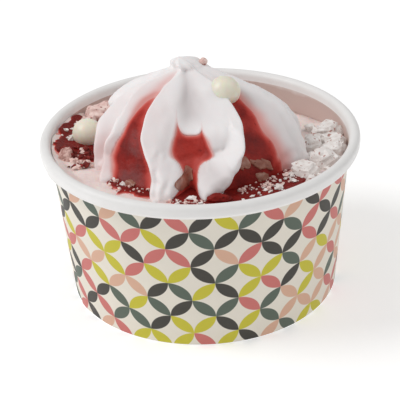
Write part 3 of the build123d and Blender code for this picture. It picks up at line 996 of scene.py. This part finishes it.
# Bilinear between the corners, which are rounded by drawing each side in with the square of the other, on the
# sauce, raised in the middle and thin at the edge.
def shardOn(name, corners, finish):
    corners = np.array(corners)
    u = np.linspace(0, 1, shard["rows"])[None, :, None]
    v = np.linspace(0, 1, shard["rows"])[:, None, None]
    across = 0.5 + (u - 0.5)*(1 - shard["rounded"]*(2*v - 1)**2/2)
    down = 0.5 + (v - 0.5)*(1 - shard["rounded"]*(2*u - 1)**2/2)
    place = (1 - down)*((1 - across)*corners[0] + across*corners[1])
    place = place + down*((1 - across)*corners[3] + across*corners[2])
    azimuth, level = place[..., 0], place[..., 1]
    flat = np.stack([azimuth, level*shard["perLevel"], 0*level], -1)
    bite = lumps(flat, shard["biteSize"], shard["biteSeed"])
    azimuth, level = azimuth + shard["bite"][0]*bite, level + shard["bite"][1]*bite
    radius = creamRadius(azimuth, level)
    radius = radius + np.maximum(sauceDepth(azimuth, level, radius), 0)
    rim = np.minimum(np.minimum(u, 1 - u), np.minimum(v, 1 - v))[..., 0]
    raised = shard["thickness"]*ease(0, shard["thinEdge"], rim)
    raised = raised + uneven(creamPoint(azimuth, level, radius), shard["wave"])
    top = creamPoint(azimuth, level, radius + raised)
    bottom = creamPoint(azimuth, level, radius - shard["sunk"])
    return newPiece(name + "Shard", slab(top, bottom), [finish])


creamRosette()
creamSauce()
browns = [(0.3, paint(146, 88, 70)), (0.55, paint(184, 126, 104)), (0.75, paint(214, 172, 154))]
clearBrown = cloudFinish("clearBrown", 2.4, browns, (0.3, 0.2), (0.3, 0.6), Specular_IOR_Level=0.5,
                         Coat_Weight=0.2, Coat_Roughness=0.1, Alpha=0.62)
for name, corners in shards.items():
    shardOn(name, corners, clearBrown)
print("rosette and sauce done")


# Pool of sauce round the rosette's foot

pool = {
    # Reach of the pool by azimuth
    "edge": [(-124, 36), (-119, 43.8), (-84, 43.8), (-77, 39), (-71, 31), (-56, 31), (-50, 33.5), (-46, 36.6),
             (-38, 38), (-32, 37.2), (-26, 37), (-20, 36.4), (-14, 37.5), (-9, 42.3), (40, 42.3), (50, 40),
             (58, 36), (72, 30)],
    "edgeWaves": ((0.9, 7.0, 41), (0.4, 2.4, 42)),
    "start": -124.0,
    "end": 72.0,
    "radii": (20.0, 43.9),
    "depth": 0.8,
    "steep": 0.9,               # how fast the bead rises from the edge
    "under": -0.6,              # how far the film dives into the ice cream past its edge
    "ripple": (0.06, 4.0, 43),
    "sunk": 1.5,                # how far its underside lies below the ice cream's top
    "darkness": 4.0,            # depth that the colour shows, for each millimetre
    "columns": 320,
    "rings": 90,
}


# Height of the pool over the ice cream: rises from the edge as a rounded bead, with slow ripples.
def poolDepth(azimuth, radius):
    grid = polar(azimuth, radius, 0.0)
    edge = through(pool["edge"], azimuth) + uneven(grid, *pool["edgeWaves"])
    bead = np.clip((edge - radius)*pool["steep"], pool["under"], 1)
    film = np.where(bead > 0, pool["depth"]*np.sqrt(np.maximum(bead, 0)), bead)
    return film + uneven(grid, pool["ripple"])


# The pool's top lies its depth above the ice cream, its underside below it.
def footPool(finish):
    azimuth = np.linspace(pool["start"], pool["end"], pool["columns"])[None, :]
    radius = np.linspace(*pool["radii"], pool["rings"])[:, None]
    depth = poolDepth(azimuth, radius)
    level = iceLevel(azimuth, radius)
    top = polar(azimuth, radius, level + depth)
    bottom = polar(azimuth, radius, level - pool["sunk"])
    values = {"depth": np.tile((depth*pool["darkness"]).ravel(), 2)}
    return newPiece("footPool", slab(top, bottom), [finish], (), values)


poolSauce = sauceFinish("poolSauce", 0.5)
footPool(poolSauce)
print("pool done")


# Balls and broken pieces

# Rounded lump: a sphere grid, drawn towards a box by a power, with seeded waves on its surface.
def lump(centre, half, seed, rows=40, columns=64, power=1.0, waves=(), turn=0.0):
    down = np.radians(np.linspace(0, 180, rows + 2)[1:-1])[:, None]
    around = np.radians(np.linspace(0, 360, columns, endpoint=False))[None, :]
    x, y, z = np.sin(down)*np.cos(around), np.sin(down)*np.sin(around), np.cos(down)
    grid = np.stack(np.broadcast_arrays(x, y, z), -1)
    place = np.concatenate([grid.reshape(-1, 3), [[0, 0, 1.0], [0, 0, -1.0]]])
    shaped = np.sign(place)*np.abs(place)**power
    size = np.ones(len(place))
    for length, amount in waves:
        size = size + amount*lumps(place, length, seed + int(100*length))
    cos, sin = math.cos(math.radians(turn)), math.sin(math.radians(turn))
    spin = np.array([[cos, sin, 0], [-sin, cos, 0], [0, 0, 1]])
    points = np.array(centre) + (shaped*size[:, None]*np.array(half)) @ spin
    return capped(points[:-2].reshape(rows, columns, 3), *points[-2:])


# Middle and half size of a node's box, in millimetres.
def nodeMiddle(node):
    low, high = (np.array(corner)/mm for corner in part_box(node))
    return (low + high)/2, (high - low)/2


# Dry broken surface: light and dark in fine clouds, with small specks where asked.
def crumbFinish(name, light, dark, specks=None):
    stops = [(0.35, dark), (0.65, light)]
    return cloudFinish(name, 1.6, stops, (0.6, 0.2), (0.2, 0.8), specks=specks, Specular_IOR_Level=0.3)


# Shapes of the pieces: what the node's box is widened by, and the rest of what makes a lump
ball = {"wider": np.array([1.02, 1.02, 0.98]), "seed": 50, "waves": ((2.4, 0.012),)}
meringue = {"wider": 1.06, "seed": 60, "rows": 8, "columns": 12, "power": 0.62,
            "waves": ((1.6, 0.13), (0.55, 0.11))}
meringueTurns = (20, -12, 35, -28, 8, 40)
pinkPiece = {"wider": 1.08, "seed": 80, "power": 0.7, "waves": ((1.7, 0.12), (0.8, 0.06), (0.36, 0.03))}
sauceDrop = {"centre": polar(6.8, 38.6, 46.9), "half": (3.3, 1.5, 1.5), "seed": 88, "rows": 24, "columns": 36,
             "waves": ((1.1, 0.1), (0.5, 0.05)), "turn": -6}
dropDepth = 2.2                 # depth that the sauce drop's colour shows
peakDrop = {"centre": (2.0, 6.4, 69.1), "half": (1.25, 1.2, 1.1), "seed": 90, "rows": 16, "columns": 24,
            "waves": ((1.2, 0.06),)}


# A lump in place of a node, with its own seed and turn.
def nodeLump(name, node, shape, k, finish, turn=0.0, smooth=True):
    centre, half = nodeMiddle(node)
    rest = {key: value for key, value in shape.items() if key not in ("wider", "seed")}
    shell = lump(centre, half*shape["wider"], shape["seed"] + k, turn=turn, **rest)
    return newPiece(name, shell, [finish], [node], smooth=smooth)


ivories = [(0, paint(244, 240, 224)), (1, paint(234, 227, 205))]
ivory = cloudFinish("whiteChocolate", 3.0, ivories, (0.3, 0.12), (0.06, 0.4), detail=3.0,
                    Subsurface_Weight=0.3, Subsurface_Scale=0.002)
chalk = crumbFinish("meringue", paint(246, 242, 239), paint(228, 219, 214), paint(184, 138, 130))
rosy = crumbFinish("pinkCrumb", paint(246, 224, 216), paint(228, 190, 182), paint(150, 70, 66))
stained = crumbFinish("stainedCrumb", paint(222, 186, 176), paint(162, 110, 102), paint(120, 44, 40))
darkRed = crumbFinish("darkCrumb", paint(150, 52, 46), paint(92, 26, 24))
for k, name in enumerate(("crown", "pool")):
    nodeLump(f"{name}Ball", f"{name}_ball", ball, k, ivory)
for k, turn in enumerate(meringueTurns, 1):
    nodeLump(f"meringue{k}", f"meringue_piece_{k}", meringue, k, chalk, turn, smooth=False)
for k, finish in enumerate((rosy, stained), 1):
    nodeLump(f"pinkPiece{k}", f"pink_piece_{k}", pinkPiece, k, finish)
drop = lump(**sauceDrop)
newPiece("sauceDrop", drop, [poolSauce], (), {"depth": np.full(len(drop[0]), dropDepth)})
newPiece("peakDrop", lump(**peakDrop), [rosy])
print("balls and pieces done")


# Flakes and crumbs on the sauce and the ice cream

# Each group: finish, slot, azimuths, radii, how many, least and greatest size, flatness and seed
crumbs = {
    "frontFlakes": (chalk, "meringue", (14, 50), (34, 42.8), 32, (0.25, 1.3), 0.45, 91),
    "middleFlakes": (chalk, "meringue", (-12, 4), (36, 42), 14, (0.25, 1.1), 0.45, 96),
    "middleFroth": (rosy, "pink_crumb", (-16, 1), (37.5, 42.5), 50, (0.2, 0.8), 0.7, 102),
    "leftFlakes": (chalk, "meringue", (-48, -26), (32, 37), 9, (0.25, 0.9), 0.6, 92),
    "leftCrumbs": (rosy, "pink_crumb", (-47, -26), (33, 38), 26, (0.2, 0.7), 0.8, 97),
    "sideCrumbs": (rosy, "pink_crumb", (-86, -68), (34, 40.5), 36, (0.35, 1.3), 0.7, 93),
    "sideDark": (darkRed, "sauce", (-88, -68), (34, 41), 46, (0.4, 1.3), 0.7, 98),
    "sideFlakes": (chalk, "meringue", (-124, -78), (37, 42.5), 15, (0.4, 1.2), 0.6, 99),
    "backCrumbs": (rosy, "pink_crumb", (-150, -112), (34, 42), 46, (0.4, 1.7), 0.9, 94),
    "rightCrumbs": (chalk, "meringue", (46, 112), (34, 43), 110, (0.4, 1.9), 0.8, 95),
    "rightChunks": (chalk, "meringue", (52, 108), (36, 42.5), 20, (1.0, 2.4), 0.6, 100),
    "rightFroth": (rosy, "pink_crumb", (17, 52), (31, 38), 60, (0.25, 0.9), 0.7, 101),
}
crumb = {
    "stretch": (0.6, 1.3),
    "dents": 0.25,              # usual depth of its dents, and the most in times of that
    "deepest": 1.5,
    "lean": 0.35,               # radians, usual lean
    "rise": 0.3,                # height of its middle over what it lies on, as a share of its size
}


# One small lump of 24 faces, repeated with its own stretch, lean and turn, each resting on the surface below.
def scatter(name, finish, slot, azimuths, radii, count, sizes, flat, seed):
    rng = np.random.default_rng(seed)
    azimuth = rng.uniform(*azimuths, count)
    radius = rng.uniform(*radii, count)
    size = sizes[0] + (sizes[1] - sizes[0])*rng.uniform(0, 1, count)**2
    points, quads, tris = lump((0, 0, 0), (1, 1, 1), seed, rows=3, columns=6)
    stretch = size[:, None]*rng.uniform(*crumb["stretch"], (count, 3))*(1, 1, flat)
    dents = rng.normal(size=(count, len(points), 1)).clip(-crumb["deepest"], crumb["deepest"])
    shaped = points[None]*stretch[:, None]*(1 + crumb["dents"]*dents)
    turn, lean = rng.uniform(0, 2*np.pi, count)[:, None], rng.normal(0, crumb["lean"], count)[:, None]
    across = shaped[..., 0]*np.cos(lean) - shaped[..., 2]*np.sin(lean)
    z = shaped[..., 0]*np.sin(lean) + shaped[..., 2]*np.cos(lean)
    x = across*np.cos(turn) - shaped[..., 1]*np.sin(turn)
    y = across*np.sin(turn) + shaped[..., 1]*np.cos(turn)
    onPool = np.maximum(poolDepth(azimuth, radius), 0)*((azimuth > pool["start"]) & (azimuth < pool["end"]))
    base = polar(azimuth, radius, iceLevel(azimuth, radius) + onPool + crumb["rise"]*size)
    placed = base[:, None] + np.stack([x, y, z], -1)
    shift = np.arange(count)[:, None, None]*len(points)
    shell = placed.reshape(-1, 3), (quads[None] + shift).reshape(-1, 4), (tris[None] + shift).reshape(-1, 3)
    return newPiece(name, shell, [finish], smooth=False)


for name, group in crumbs.items():
    scatter(name, *group)
print("crumbs done")


# Floor, light and camera

studio = {
    "floor": 3.0,               # metres across
    "floorCloud": 60.0,
    "floorShades": (0.93, 0.95),
    "floorGlow": 0.3,
    "skyStrength": 0.44,
    "keyPlace": (-0.75, -0.02, 0.85),       # metres
    "keySize": 0.6,
    "keyPower": 5.5,
    "fillPlace": (0.7, 0.0, 0.95),
    "fillSize": 0.9,
    "fillPower": 2.0,
    "elevation": 28.824,        # the camera's, in degrees; its distance and target are in millimetres
    "distance": 430.875,
    "target": (0, 0, 24.809),
    "roll": 2.31,
    "focal": 1399.081,          # pixels, on a picture 400 pixels wide
    "picture": 400,
    "aim": (202.432, 202.58),   # pixel that the target falls on
}


# Pale, in slow clouds, with a faint glow of its own.
def floorFinish():
    finish, shader, wire = newFinish("floor", Specular_IOR_Level=0.1, Emission_Strength=studio["floorGlow"])
    cloud = grain(wire, studio["floorCloud"])
    colour = cloud.mixed(*((shade, shade, shade, 1) for shade in studio["floorShades"]))
    feed(shader, wire, Base_Color=colour, Roughness=0.8 + 0.1*cloud)
    return finish


# One square at the foot's height.
def studioFloor():
    half = studio["floor"]/2
    mesh = bpy.data.meshes.new("studioFloor")
    corners = [(-half, -half, 0), (half, -half, 0), (half, half, 0), (-half, half, 0)]
    mesh.from_pydata(corners, [], [(0, 1, 2, 3)])
    mesh.materials.append(floorFinish())
    floor = bpy.data.objects.new("studioFloor", mesh)
    bpy.context.scene.collection.objects.link(floor)


# A disc of light, turned towards the camera's target.
def areaLight(name, place, size, power):
    lamp = bpy.data.lights.new(name, "AREA")
    lamp.shape = "DISK"
    lamp.size = size
    lamp.energy = power
    light = bpy.data.objects.new(name, lamp)
    light.location = place
    aim = Vector(studio["target"])*mm - Vector(place)
    light.rotation_mode = "QUATERNION"
    light.rotation_quaternion = aim.to_track_quat("-Z", "Y")
    bpy.context.scene.collection.objects.link(light)


# Even white sky, a key light from the left and a wide fill light from the right.
def studioLight():
    world = bpy.data.worlds.new("studio")
    world.use_nodes = True
    sky = world.node_tree.nodes["Background"]
    sky.inputs["Color"].default_value = (1.0, 1.0, 1.0, 1.0)
    sky.inputs["Strength"].default_value = studio["skyStrength"]
    bpy.context.scene.world = world
    areaLight("key", studio["keyPlace"], studio["keySize"], studio["keyPower"])
    areaLight("fill", studio["fillPlace"], studio["fillSize"], studio["fillPower"])
    bpy.context.scene.view_settings.view_transform = "Standard"


# In front of the target at its elevation and distance, rolled about its own axis. The shift puts the target
# on its pixel.
def studioCamera():
    data = bpy.data.cameras.new("camera")
    data.sensor_width = 36.0
    data.lens = data.sensor_width*studio["focal"]/studio["picture"]
    data.shift_x = (studio["picture"]/2 - studio["aim"][0])/studio["picture"]
    data.shift_y = (studio["aim"][1] - studio["picture"]/2)/studio["picture"]
    data.clip_start = 0.01
    data.clip_end = 20.0
    camera = bpy.data.objects.new("camera", data)
    rise = math.radians(studio["elevation"])
    target = np.array(studio["target"])*mm
    camera.location = target + studio["distance"]*mm*np.array([0, -math.cos(rise), math.sin(rise)])
    camera.rotation_mode = "XYZ"
    tilt = Matrix.Rotation(math.pi/2 - rise, 4, "X")
    spin = Matrix.Rotation(-math.radians(studio["roll"]), 4, "Z")
    camera.rotation_euler = (tilt @ spin).to_euler()
    bpy.context.scene.collection.objects.link(camera)
    bpy.context.scene.camera = camera


studioFloor()
studioLight()
studioCamera()
print("studio done")
